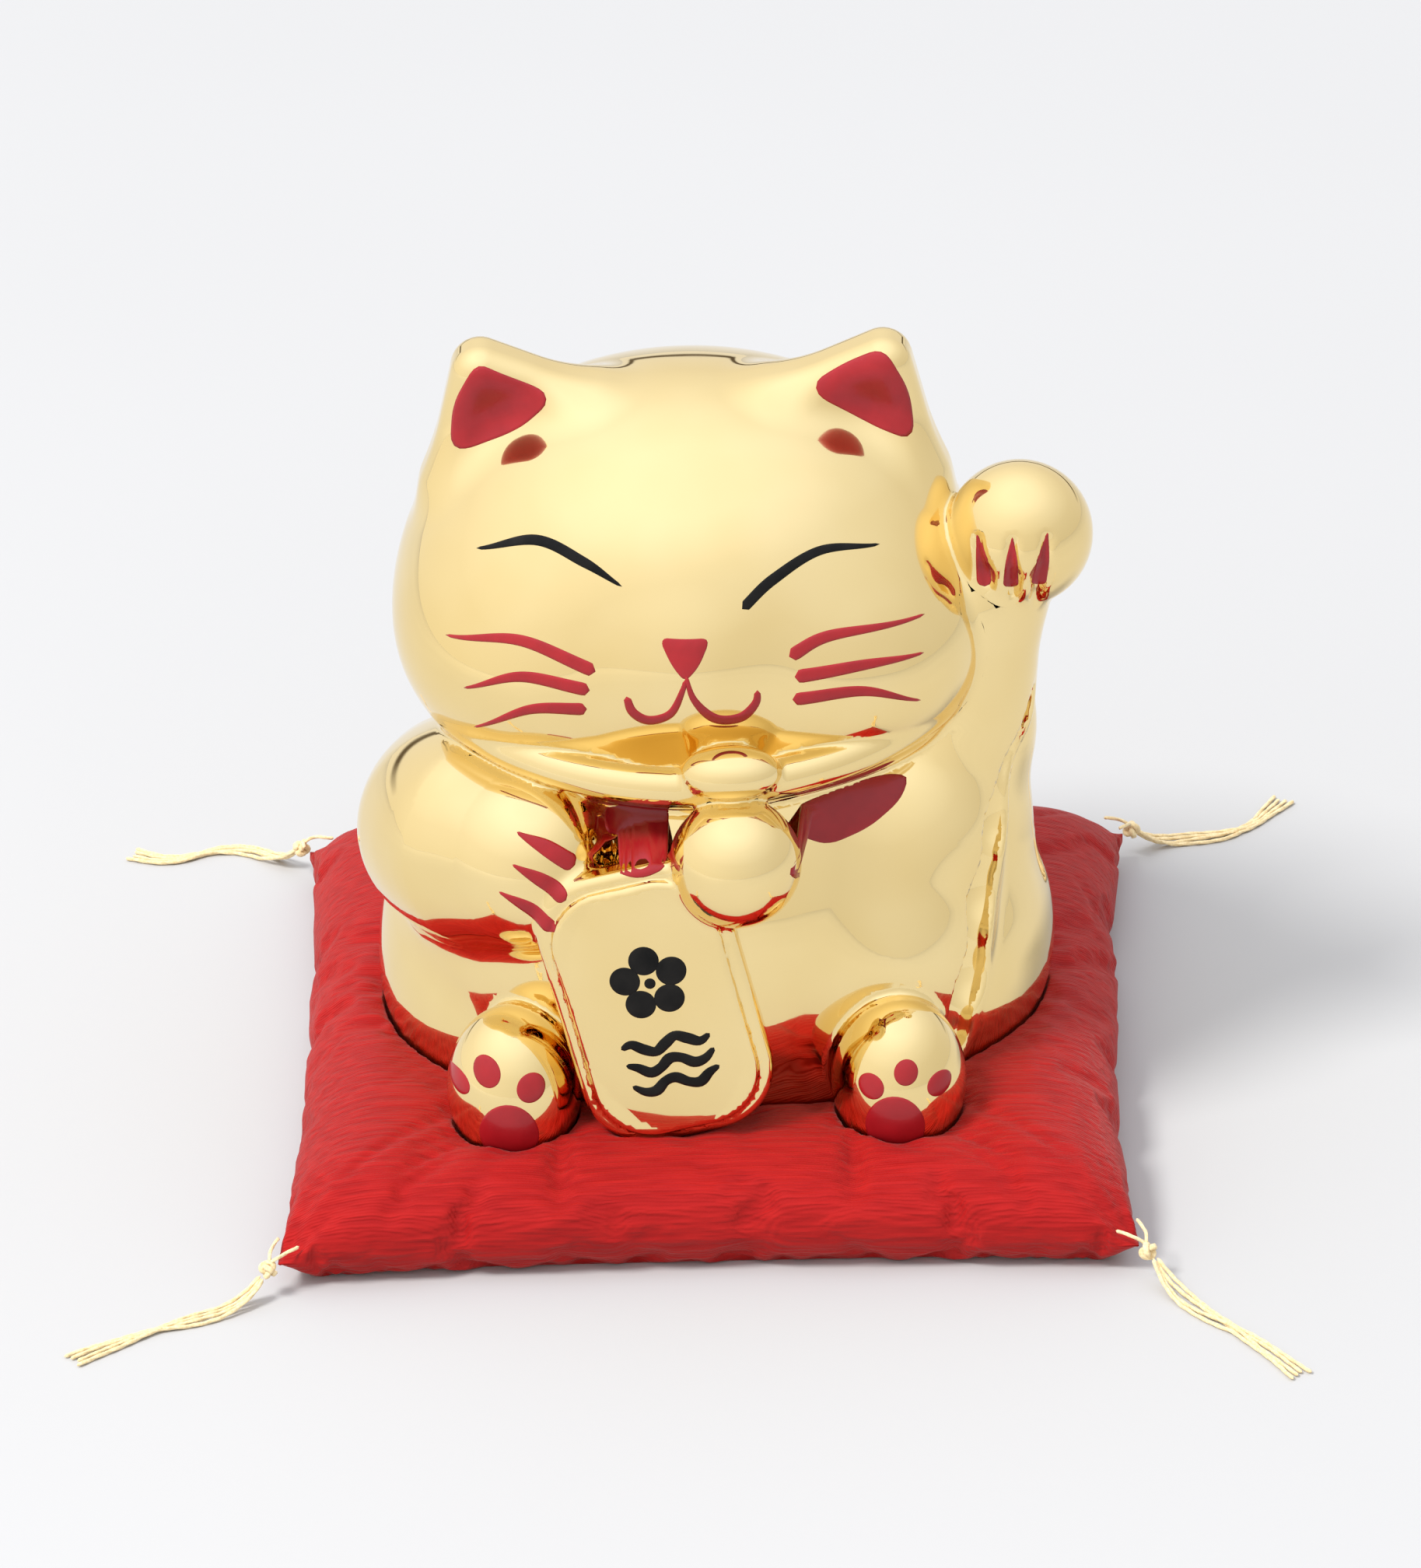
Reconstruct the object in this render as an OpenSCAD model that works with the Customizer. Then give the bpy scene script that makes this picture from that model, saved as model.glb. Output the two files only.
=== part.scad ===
// Beckoning cat figurine: a gold-glazed hollow ceramic cat that rests on a
// red padded cushion with a tassel at each corner.
//
// Millimetres. The origin is the centre of the cushion's underside, the cat
// faces -Y and +Z is up. Left and right are the cat's own: its left is +X.
// The cat lifts straight up off the cushion.

/* [Cushion] */
// Side of the square cushion, from seam to seam
cushion_w = 120; // [116:1:130]
// Height of the seam above the table
seam_z = 4.5; // [3:0.5:6]
// Height of the padded crown above the table
crown_z = 13; // [12:0.5:15]
// Thickness of the cloth cover
cover_t = 0.8; // [0.6:0.1:1.2]

/* [Cat] */
// Height of the flat that the cat sits on
seat_z = 10; // [8:0.5:11]
// Thickness of the ceramic wall
wall = 3; // [2.5:0.5:4]
// Thickness of the coloured enamel
enamel_t = 0.4; // [0.3:0.1:0.6]
// Diameter of the vent in the base
vent_d = 7; // [5:1:10]
// Diameter of the passage through the neck
neck_passage_d = 20; // [16:1:22]

/* [Bell, collar and tablet] */
// Diameter of the bell
bell_d = 18.4; // [17:0.2:19]
// Thickness of the collar cord
collar_d = 5.4; // [4.8:0.2:6]
// Width of the gold tablet
tablet_w = 27; // [25:1:29]
// Thickness of the gold tablet's rim
tablet_t = 4; // [3:0.5:5]

/* [Tassels] */
// Thickness of a bundle of tassel threads
tassel_d = 2; // [1.6:0.2:2.4]

/* [Hidden] */

gold = "#e0bc72";
red_enamel = "#a3212a";
black_enamel = "#161413";
red_cloth = "#c42f2c";
thread_colour = "#f0dfa6";
wadding = "#f2ede2";

half = cushion_w / 2;
// How fast the pressed pad rises away from the cat
dent_slope = 1.1;

// The cat's main forms: centre, radii and rotation of each rounded mass
torso = [[0.5, 1, 31], [46.5, 40, 43], [0, 0, 0]];
rump = [[0.5, 2, 20], [47.8, 39.5, 30], [0, 0, 0]];
head = [[-1, 1, 79.5], [41, 36, 31.5], [0, 0, 0]];
cheek_right = [[-22, -10, 75], [20, 22, 15.5], [0, 0, 0]];
cheek_left = [[20, -10, 75], [20, 22, 15.5], [0, 0, 0]];
upper_arm = [[41, -3, 60], [8.6, 10.5, 33], [4, 0, 0]];
left_paw = [[45.6, -8, 89.8], [10.3, 10.3, 10.3], [0, 0, 0]];
right_arm = [[-34, -16, 52], [13.5, 23, 12.5], [12, 0, 32]];
right_paw = [[-22, -32, 53], [11, 12, 11.5], [0, 0, 20]];
tail_form = [[17, 37.5, 26], [15, 7.5, 7], [0, -14, -24]];

// Half axes of the flats that the cat's body and feet rest on, and each foot
base_r = [46.2, 38.4];
foot_base_r = [8, 8.4];
foot_x = 27;
foot_y = -36.5;
foot_z = 19;
foot_r = [9.6, 10, 12];

// ---- general shapes ----

module rounded_mass(form, grow = 0) {
    translate(form[0]) rotate(form[2])
        scale([form[1][0] + grow, form[1][1] + grow, form[1][2] + grow]) sphere(r = 1, $fn = 64);
}

module above(z) {
    translate([-200, -200, z]) cube([400, 400, 200]);
}

function arc(r, from, to, steps) =
    [for (i = [0 : steps]) let (a = from + (to - from) * i / steps) r * [cos(a), sin(a)]];

// A brush stroke from a to b that bows sideways, w0 wide at a and w1 at b
function stroke(a, b, bow, w0, w1, steps = 7) =
    let (
        along = (b - a) / norm(b - a),
        side = [-along[1], along[0]],
        mid = function (t) a + (b - a) * t + side * bow * 4 * t * (1 - t),
        half_width = function (t) (w0 + (w1 - w0) * t) / 2
    )
    concat(
        [for (i = [0 : steps]) let (t = i / steps) mid(t) + side * half_width(t)],
        [for (i = [steps : -1 : 0]) let (t = i / steps) mid(t) - side * half_width(t)]
    );

// Cuts a flat shape, drawn in X and Z, out of a thin layer in front of y_back
module painted(y_back = 0) {
    intersection() {
        children(0);
        translate([0, y_back, 0]) rotate([90, 0, 0]) linear_extrude(height = 80) children(1);
    }
}

// ---- cushion ----

crown_edge = 13;
underside_edge = 6;

// Quarter of an ellipse from a seam at x = w up or down to a flat at x = w - across
function rounded_side(w, across, rise, steps = 9) =
    [for (i = [0 : steps]) let (a = 90 * i / steps) [w - across + across * cos(a), seam_z + rise * sin(a)]];

function both_sides(points) =
    concat(points, [for (i = [len(points) - 1 : -1 : 0]) [-points[i][0], points[i][1]]]);

// Section through the pad above or below its seam; inset makes the smaller pad
// inside the cover
function upper_section(inset) =
    both_sides(rounded_side(half - inset, crown_edge, crown_z - seam_z - inset));

function lower_section(inset) =
    both_sides(rounded_side(half - inset, underside_edge, inset - seam_z));

// A square pad, with the same rounded section along both of its sides
module square_pad(section) {
    intersection() {
        rotate([90, 0, 0]) linear_extrude(height = 2 * cushion_w, center = true) polygon(section);
        rotate([90, 0, 90]) linear_extrude(height = 2 * cushion_w, center = true) polygon(section);
    }
}

// A flat of radii r at seat height whose wall slopes out above it
module hollow_under(place, r, grow) {
    height = 8;
    translate([place[0], place[1], seat_z - grow]) scale([1, (r[1] + grow) / (r[0] + grow), 1])
        cylinder(h = height, r1 = r[0] + grow, r2 = r[0] + grow + height * dent_slope, $fn = 96);
}

// Where the cat's body and feet press the pad down
module dent(grow) {
    hollow_under([rump[0][0], rump[0][1]], base_r, grow);
    for (side = [-1, 1]) hollow_under([side * foot_x, foot_y], foot_base_r, grow);
}

module upper_filling() {
    difference() {
        square_pad(upper_section(cover_t));
        dent(cover_t);
    }
}

// The two cloth panels meet at the seam that runs round the pad's edge
module cushion_top_panel() {
    color(red_cloth) difference() {
        square_pad(upper_section(0));
        dent(0);
        upper_filling();
    }
}

module cushion_bottom_panel() {
    color(red_cloth) difference() {
        square_pad(lower_section(0));
        square_pad(lower_section(cover_t));
    }
}

module cushion_filling() {
    color(wadding) union() {
        upper_filling();
        square_pad(lower_section(cover_t));
    }
}

corner_knot_r = 1.7;

module corner_knot(sx, sy) {
    color(thread_colour) translate([sx * (half + corner_knot_r * 0.75), sy * (half + corner_knot_r * 0.75), seam_z])
        sphere(r = corner_knot_r, $fn = 32);
}

// Each tassel's route on the table, from its corner knot to its cut ends
tassel_front_right_route = [
    [-62.2, -62.2, 3.6], [-64, -63.5, 2.6], [-66.5, -65, 1.7], [-69.5, -66.6, 1.2], [-72.5, -68.2, 1.1],
    [-75.5, -69.8, 1.1], [-78.5, -71.4, 1.1], [-81.5, -73.2, 1.1], [-84.5, -75.2, 1.1], [-87.2, -77.3, 1.1]];
tassel_back_right_route = [
    [-62.2, 62.2, 3.6], [-64, 63.8, 2.6], [-66, 66, 1.7], [-68.4, 68, 1.2], [-71.2, 69, 1.1],
    [-74.2, 68.6, 1.1], [-77, 67.2, 1.1], [-79.8, 66.2, 1.1], [-82.8, 66.4, 1.1], [-86, 67.9, 1.1]];
tassel_front_left_route = [
    [62.2, -62.2, 3.6], [63.4, -64, 2.6], [65, -66.4, 1.7], [67, -69.2, 1.2], [69.2, -72, 1.1],
    [71.6, -74.8, 1.1], [74, -77.8, 1.1], [76.4, -81, 1.1], [78.8, -84.4, 1.1], [81, -87.8, 1.1]];
tassel_back_left_route = [
    [62.2, 62.2, 3.6], [64.2, 63.4, 2.6], [66.6, 64.7, 1.7], [69.4, 65.6, 1.2], [72.4, 66, 1.1],
    [75.4, 66.6, 1.1], [78, 68, 1.1], [80, 70.4, 1.1], [81.6, 73.3, 1.1], [83.6, 76.4, 1.1]];

// Sweeps a round tube along a route with a ring at every point
module tube(route, d, sides = 8) {
    last = len(route) - 1;
    heading = function (i)
        let (v = route[min(last, i + 1)] - route[max(0, i - 1)]) v / norm(v);
    ring = function (i)
        let (
            f = heading(i),
            s = cross(f, [0, 0, 1]) / norm(cross(f, [0, 0, 1])),
            n = cross(s, f)
        )
        [for (k = [0 : sides - 1]) route[i] + d / 2 * (cos(360 * k / sides) * s + sin(360 * k / sides) * n)];
    points = [for (i = [0 : last]) each ring(i)];
    faces = concat(
        [[for (k = [0 : sides - 1]) k]],
        [for (i = [0 : last - 1]) for (k = [0 : sides - 1]) let (m = (k + 1) % sides)
            each [[i * sides + k, (i + 1) * sides + k, (i + 1) * sides + m],
                  [i * sides + k, (i + 1) * sides + m, i * sides + m]]],
        [[for (k = [sides - 1 : -1 : 0]) last * sides + k]]
    );
    color(thread_colour) polyhedron(points = points, faces = faces);
}

module tassel(route, sx, sy) {
    difference() {
        tube(route, tassel_d);
        corner_knot(sx, sy);
    }
}

// ---- cat's body and head ----

module head_form(grow = 0) {
    rounded_mass(head, grow);
    rounded_mass(cheek_right, grow);
    rounded_mass(cheek_left, grow);
}

module torso_form(grow = 0) {
    intersection() {
        union() {
            rounded_mass(torso, grow);
            rounded_mass(rump, grow);
        }
        above(seat_z);
    }
}

module neck_passage() {
    translate([0, 1, 40]) cylinder(h = 20, d = neck_passage_d, $fn = 64);
}

module torso_shell() {
    color(gold) difference() {
        torso_form();
        head_form();
        intersection() {
            rounded_mass(torso, -wall);
            above(seat_z + wall);
        }
        neck_passage();
        translate([0, 1, seat_z - 1]) cylinder(h = wall + 2, d = vent_d, $fn = 48);
    }
}

module head_shell() {
    color(gold) difference() {
        head_form();
        rounded_mass(head, -wall);
        neck_passage();
    }
}

// ---- ears ----

ear_t = 9;

// Corners of an ear's rounded outline in X and Z, with the radius at each
ear_corners = [[27.3, 113.2, 4.2], [31.4, 108, 3.4], [32.4, 96, 2.5], [22, 94, 2], [16, 108, 3]];

module ear_outline(side, inset = 0) {
    hull() {
        for (c = ear_corners)
            translate([side * c[0], c[1]]) circle(r = max(0.4, c[2] - inset), $fn = 32);
    }
}

module ear(side) {
    color(gold) difference() {
        translate([head[0][0], ear_t / 2, 0]) rotate([90, 0, 0]) linear_extrude(height = ear_t) ear_outline(side);
        head_form();
    }
}

module ear_enamel(side) {
    color(red_enamel) difference() {
        translate([head[0][0], -ear_t / 2, 0]) rotate([90, 0, 0])
            linear_extrude(height = enamel_t)
                translate([side * 26, 104]) scale([0.62, 0.66]) translate([-side * 26, -104])
                    ear_outline(side);
        head_form();
    }
}

// ---- arms, feet and tail ----

module raised_arm() {
    color(gold) difference() {
        rounded_mass(upper_arm);
        head_form();
        torso_form();
        rounded_mass(left_paw);
    }
}

module raised_paw() {
    color(gold) difference() {
        rounded_mass(left_paw);
        head_form();
    }
}

module holding_arm() {
    color(gold) difference() {
        union() {
            rounded_mass(right_arm);
            rounded_mass(right_paw);
        }
        torso_form();
        head_form();
    }
}

module foot_form(side, grow = 0) {
    intersection() {
        translate([side * foot_x, foot_y, foot_z])
            scale([foot_r[0] + grow, foot_r[1] + grow, foot_r[2] + grow]) sphere(r = 1, $fn = 64);
        above(seat_z);
    }
}

module foot(side) {
    color(gold) difference() {
        foot_form(side);
        torso_form();
    }
}

module tail() {
    color(gold) difference() {
        rounded_mass(tail_form);
        torso_form();
    }
}

// ---- bell, collar, knot and tablet ----

collar_centre = [0, 0, 71.6];
collar_r = [38.5, 37.5];
collar_tilt = 8;
bell_centre = [5.2, -41, 56.4];
knot_centre = [4.8, -37.6, 68.4];
knot_r = [7, 4.6, 3.6];

module collar_ring() {
    translate(collar_centre) rotate([collar_tilt, 0, 0]) scale([1, collar_r[1] / collar_r[0], 1])
        rotate_extrude($fn = 96) translate([collar_r[0], 0]) circle(d = collar_d, $fn = 32);
}

module knot_form() {
    translate(knot_centre) scale(knot_r) sphere(r = 1, $fn = 48);
}

module collar_cord() {
    color(gold) difference() {
        collar_ring();
        head_form();
        torso_form();
        knot_form();
        bell_form();
        rounded_mass(upper_arm);
        rounded_mass(right_arm);
        rounded_mass(right_paw);
    }
}

module collar_knot() {
    color(gold) difference() {
        knot_form();
        head_form();
        torso_form();
        bell_form();
    }
}

module bell_form() {
    translate(bell_centre) sphere(d = bell_d, $fn = 64);
}

module bell() {
    color(gold) difference() {
        bell_form();
        torso_form();
        head_form();
    }
}

tablet_centre = [-7, -41.5, 34.8];
tablet_h = 42;
tablet_lean = -6;
tablet_roll = -8.5;

module tablet_outline(inset = 0) {
    corner_r = 9 - inset;
    hull() {
        for (s = [-1, 1]) {
            translate([s * (tablet_w / 2 - 9), -(tablet_h / 2 - 9)]) circle(r = corner_r, $fn = 32);
            translate([s * (tablet_w / 2 - 9.5), tablet_h / 2 - 9]) circle(r = corner_r - 0.5, $fn = 32);
        }
    }
}

module on_tablet() {
    translate(tablet_centre) rotate([90 + tablet_lean, 0, 0]) rotate([0, 0, -tablet_roll]) children();
}

module tablet_form() {
    on_tablet() linear_extrude(height = tablet_t * 2, center = true) tablet_outline();
}

module tablet() {
    color(gold) difference() {
        tablet_form();
        torso_form();
        head_form();
        bell_form();
        rounded_mass(right_arm);
        rounded_mass(right_paw);
        foot_form(-1);
    }
}

// A plain mark: five round petals above three short bars
module tablet_mark() {
    color(black_enamel) on_tablet() translate([0, 0, tablet_t]) linear_extrude(height = enamel_t) {
        for (k = [0 : 4])
            translate([0, 4] + 4.2 * [sin(72 * k), cos(72 * k)]) circle(r = 2.2, $fn = 24);
        for (k = [0 : 2])
            translate([0, -7 - 3.4 * k]) square([12 - 1.5 * k, 1.8], center = true);
    }
}

// ---- enamel on the face, bib, claws and feet ----

module head_enamel_layer() {
    difference() {
        head_form(enamel_t);
        head_form();
    }
}

module eye_enamel() {
    color(black_enamel) painted() {
        head_enamel_layer();
        union() {
            polygon(stroke([-9.6, 94.6], [-30, 96], 1.6, 1.8, 0.5));
            polygon(stroke([7.6, 92.2], [27.5, 95.4], -1.6, 2, 0.5));
        }
    }
}

module nose_enamel() {
    color(red_enamel) painted() {
        head_enamel_layer();
        polygon([[-4.2, 88.2], [2.2, 88.2], [2, 86.6], [-0.4, 82.6], [-1.6, 82.6], [-4, 86.6]]);
    }
}

module mouth_enamel() {
    color(red_enamel) painted() {
        head_enamel_layer();
        for (s = [-1, 1])
            translate([-1 + s * 4.6, 80.6]) mirror([s > 0 ? 1 : 0, 0])
                polygon(concat(arc(4.6, 180, 360, 10), [for (p = arc(3.4, 360, 180, 10)) p]));
    }
}

module whisker_enamel(side) {
    color(red_enamel) painted() {
        head_enamel_layer();
        translate([head[0][0], 0]) union() {
            polygon(stroke([side * 13.6, 82.6], [side * 32, 81], 0.6, 2.4, 0.5));
            polygon(stroke([side * 14, 79.8], [side * 33, 77], 0.3, 2.2, 0.5));
            polygon(stroke([side * 14, 77], [side * 31, 72.6], 0, 2, 0.5));
        }
    }
}

module bib_enamel() {
    color(red_enamel) difference() {
        painted() {
            difference() {
                torso_form(enamel_t);
                torso_form();
            }
            union() {
                translate([-12.8, 55.6]) square([8.6, 7.6]);
                polygon(concat([[12, 61.6], [28, 62.6]], [for (p = arc(8.4, -10, -170, 10)) p + [20, 60]]));
            }
        }
        head_form(enamel_t);
        collar_ring();
        bell_form();
        knot_form();
        tablet_form();
        rounded_mass(upper_arm, enamel_t);
        rounded_mass(right_arm, enamel_t);
        rounded_mass(right_paw, enamel_t);
    }
}

module claw_strokes(angle) {
    for (k = [-1 : 1]) rotate(angle + 4 * k)
        polygon(stroke([k * 4.6, -4.6], [k * 4.2, 3.8], 0, 2.2, 0.5));
}

module raised_claw_enamel() {
    color(red_enamel) painted(left_paw[0][1]) {
        difference() {
            rounded_mass(left_paw, enamel_t);
            rounded_mass(left_paw);
            rounded_mass(upper_arm);
            head_form();
        }
        translate([left_paw[0][0], left_paw[0][2] - 1.5]) claw_strokes(-6);
    }
}

module holding_claw_enamel() {
    color(red_enamel) difference() {
        painted(right_paw[0][1]) {
            difference() {
                rounded_mass(right_paw, enamel_t);
                rounded_mass(right_paw);
                torso_form();
            }
            translate([right_paw[0][0], right_paw[0][2]]) claw_strokes(62);
        }
        tablet_form();
        rounded_mass(right_arm, enamel_t);
    }
}

module foot_enamel(side) {
    color(red_enamel) painted(foot_y) {
        difference() {
            foot_form(side, enamel_t);
            foot_form(side);
        }
        translate([side * foot_x, 0]) {
            translate([0, 15.2]) scale([3.9, 4.4]) circle(r = 1, $fn = 40);
            for (k = [-1 : 1])
                translate([k * 5, 22.6 - abs(k) * 0.9]) circle(r = 1.9, $fn = 32);
        }
    }
}

// ---- nodes ----

cushion_top_panel();
cushion_bottom_panel();
cushion_filling();
corner_knot(-1, -1);  // corner_knot_front_right
corner_knot(1, -1);  // corner_knot_front_left
corner_knot(-1, 1);  // corner_knot_back_right
corner_knot(1, 1);  // corner_knot_back_left
tassel(tassel_front_right_route, -1, -1);  // tassel_front_right
tassel(tassel_front_left_route, 1, -1);  // tassel_front_left
tassel(tassel_back_right_route, -1, 1);  // tassel_back_right
tassel(tassel_back_left_route, 1, 1);  // tassel_back_left
torso_shell();
head_shell();
ear(-1);  // ear_right
ear(1);  // ear_left
ear_enamel(-1);  // ear_enamel_right
ear_enamel(1);  // ear_enamel_left
raised_arm();
raised_paw();
raised_claw_enamel();
holding_arm();
holding_claw_enamel();
foot(-1);  // foot_right
foot(1);  // foot_left
foot_enamel(-1);  // foot_enamel_right
foot_enamel(1);  // foot_enamel_left
tablet();
tablet_mark();
bell();
collar_cord();
collar_knot();
bib_enamel();
eye_enamel();
nose_enamel();
mouth_enamel();
whisker_enamel(-1);  // whisker_enamel_right
whisker_enamel(1);  // whisker_enamel_left
tail();
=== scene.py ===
"""Gold beckoning cat on a red tasselled cushion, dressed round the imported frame.

Blender works in metres. The cat's forms are worked out in millimetres and
scaled when a mesh is made.
"""
import math

import bpy
import numpy as np
from mathutils import Matrix, Vector


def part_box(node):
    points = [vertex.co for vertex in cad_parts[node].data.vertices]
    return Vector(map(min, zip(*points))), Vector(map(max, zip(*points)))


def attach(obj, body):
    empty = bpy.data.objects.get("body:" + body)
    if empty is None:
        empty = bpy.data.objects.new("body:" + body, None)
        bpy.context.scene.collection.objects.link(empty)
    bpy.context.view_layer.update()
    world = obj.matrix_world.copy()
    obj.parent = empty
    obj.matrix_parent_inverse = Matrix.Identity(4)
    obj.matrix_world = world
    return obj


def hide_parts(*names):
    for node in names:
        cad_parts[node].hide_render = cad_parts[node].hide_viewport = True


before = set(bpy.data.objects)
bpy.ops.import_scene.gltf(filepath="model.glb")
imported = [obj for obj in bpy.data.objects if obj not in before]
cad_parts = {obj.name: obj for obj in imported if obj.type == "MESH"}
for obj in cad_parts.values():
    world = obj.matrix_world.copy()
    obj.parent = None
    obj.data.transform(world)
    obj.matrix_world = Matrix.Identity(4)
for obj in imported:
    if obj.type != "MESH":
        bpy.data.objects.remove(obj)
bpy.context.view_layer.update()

MM = 0.001
TURN = 2 * math.pi


def box_mm(node):
    """A CAD node's lowest and highest corners at rest, in millimetres."""
    low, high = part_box(node)
    return np.array(low) / MM, np.array(high) / MM


def middle(node):
    low, high = box_mm(node)
    return (low + high) / 2


def half_size(node):
    low, high = box_mm(node)
    return (high - low) / 2


def add_object(name, data):
    made = bpy.data.objects.new(name, data)
    bpy.context.collection.objects.link(made)
    return made


# ---------------- camera

VIEW_AZIMUTH, VIEW_ELEVATION, VIEW_ROLL = 1.5, 28.3, -2.0
VIEW_DISTANCE = 1.8
SENSOR = 36.0
LENS = 291.2


def add_camera():
    azimuth, elevation, roll = (math.radians(a) for a in (VIEW_AZIMUTH, VIEW_ELEVATION, VIEW_ROLL))
    back = Vector((math.sin(azimuth) * math.cos(elevation),
                   -math.cos(azimuth) * math.cos(elevation),
                   math.sin(elevation)))
    right = (-back).cross(Vector((0, 0, 1))).normalized()
    up = right.cross(-back)
    side = right * math.cos(roll) + up * math.sin(roll)
    top = up * math.cos(roll) - right * math.sin(roll)
    aim = Vector((0, 0, 45 * MM)) + side * 1.0 * MM + top * 1.55 * MM
    data = bpy.data.cameras.new("camera")
    data.sensor_width = SENSOR
    data.lens = LENS
    camera = add_object("camera", data)
    rotation = Matrix((side, top, back)).transposed()
    camera.matrix_world = Matrix.Translation(aim + back * VIEW_DISTANCE) @ rotation.to_4x4()
    bpy.context.scene.camera = camera


add_camera()

# ---------------- materials


def new_material(name, settings):
    """A node material with its shader's uniform settings, and its object coordinates."""
    material = bpy.data.materials.new(name)
    material.use_nodes = True
    nodes, links = material.node_tree.nodes, material.node_tree.links
    shader = nodes["Principled BSDF"]
    for setting, value in settings.items():
        shader.inputs[setting].default_value = value
    return material, nodes, links, shader, nodes.new("ShaderNodeTexCoord").outputs["Object"]


def noise(nodes, links, place, scale, detail):
    node = nodes.new("ShaderNodeTexNoise")
    node.inputs["Scale"].default_value = scale
    node.inputs["Detail"].default_value = detail
    links.new(place, node.inputs["Vector"])
    return node.outputs["Fac"]


def ramp(nodes, links, factor, stops):
    """A colour that goes from stop to stop, each a place and a colour, as the factor rises."""
    node = nodes.new("ShaderNodeValToRGB")
    elements = node.color_ramp.elements
    while len(elements) < len(stops):
        elements.new(0.5)
    for element, (place, colour) in zip(elements, stops):
        element.position = place
        element.color = (*colour, 1)
    links.new(factor, node.inputs["Fac"])
    return node.outputs["Color"]


def grey(value):
    return (value, value, value)


def add_bump(nodes, links, shader, height, strength, distance):
    bump = nodes.new("ShaderNodeBump")
    bump.inputs["Strength"].default_value = strength
    bump.inputs["Distance"].default_value = distance
    links.new(height, bump.inputs["Height"])
    links.new(bump.outputs["Normal"], shader.inputs["Normal"])


def gold_material():
    """Mirror gold lustre with slight pooling of colour and a faintly uneven glaze."""
    material, nodes, links, shader, place = new_material("gold_lustre", {"Metallic": 1.0})
    tint = noise(nodes, links, place, 55, 2)
    colour = ramp(nodes, links, tint, [(0.3, (0.87, 0.67, 0.31)), (0.7, (0.91, 0.72, 0.36))])
    links.new(colour, shader.inputs["Base Color"])
    haze = noise(nodes, links, place, 140, 3)
    gloss = ramp(nodes, links, haze, [(0.35, grey(0.025)), (0.75, grey(0.085))])
    links.new(gloss, shader.inputs["Roughness"])
    add_bump(nodes, links, shader, noise(nodes, links, place, 75, 1), 0.22, 0.0006)
    return material


def enamel_material(name, dark, light, roughness, specular=0.35, coat=0.2):
    """Glossy brushed-on enamel, a little thicker and darker in places."""
    material, nodes, links, shader, place = new_material(name, {
        "Roughness": roughness, "Specular IOR Level": specular,
        "Coat Weight": coat, "Coat Roughness": 0.08})
    body = noise(nodes, links, place, 260, 4)
    links.new(ramp(nodes, links, body, [(0.3, dark), (0.7, light)]), shader.inputs["Base Color"])
    add_bump(nodes, links, shader, noise(nodes, links, place, 900, 2), 0.15, 0.0001)
    return material


GOLD = gold_material()
RED_ENAMEL = enamel_material("red_enamel", (0.27, 0.006, 0.010), (0.34, 0.008, 0.013), 0.3)
BLACK_ENAMEL = enamel_material("black_enamel", grey(0.004), (0.012, 0.011, 0.010), 0.4, 0.12, 0.0)


# ---------------- distance forms

def turned(degrees):
    """Rotation matrix for angles about X, then Y, then Z."""
    x, y, z = (math.radians(a) for a in degrees)
    rx = np.array([[1, 0, 0], [0, math.cos(x), -math.sin(x)], [0, math.sin(x), math.cos(x)]])
    ry = np.array([[math.cos(y), 0, math.sin(y)], [0, 1, 0], [-math.sin(y), 0, math.cos(y)]])
    rz = np.array([[math.cos(z), -math.sin(z), 0], [math.sin(z), math.cos(z), 0], [0, 0, 1]])
    return rz @ ry @ rx


def ellipsoid(centre, radii, turn=(0, 0, 0)):
    centre, radii, spin = np.array(centre, float), np.array(radii, float), turned(turn)

    def distance(p):
        q = (p - centre) @ spin / radii
        near = np.linalg.norm(q, axis=1)
        slope = np.maximum(np.linalg.norm(q / radii, axis=1), 1e-6)
        return near * (near - 1) / slope
    return distance


def limb(points, radii, k=3.0):
    """A tapering limb through the points."""
    points = np.array(points, float)

    def distance(p):
        total = None
        for a, b, ra, rb in zip(points[:-1], points[1:], radii[:-1], radii[1:]):
            along = b - a
            t = np.clip((p - a) @ along / (along @ along), 0, 1)
            d = np.linalg.norm(p - a - t[:, None] * along, axis=1) - (ra + (rb - ra) * t)
            total = d if total is None else blend(total, d, k)
        return total
    return distance


def boxed(sides):
    """Distance to where every column of side distances is negative."""
    return np.linalg.norm(np.maximum(sides, 0), axis=1) + np.minimum(sides.max(axis=1), 0)


def plate(centre, half, corner, edge, turn, dome=0.0):
    """A rounded slab: half sizes across, up and through, with soft edges and a domed face."""
    centre, spin = np.array(centre, float), turned(turn)

    def distance(p):
        q = (p - centre) @ spin
        across = np.abs(q[:, [0, 2]]) - (np.array(half[:2]) - corner)
        flat = boxed(across) - corner
        rise = dome * (1 - np.clip((q[:, 0] / half[0]) ** 2 + (q[:, 2] / half[1]) ** 2, 0, 1))
        through = np.abs(q[:, 1] + rise / 2) - (half[2] + rise / 2)
        return boxed(np.stack([flat + edge, through + edge], axis=1)) - edge
    return distance


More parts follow.
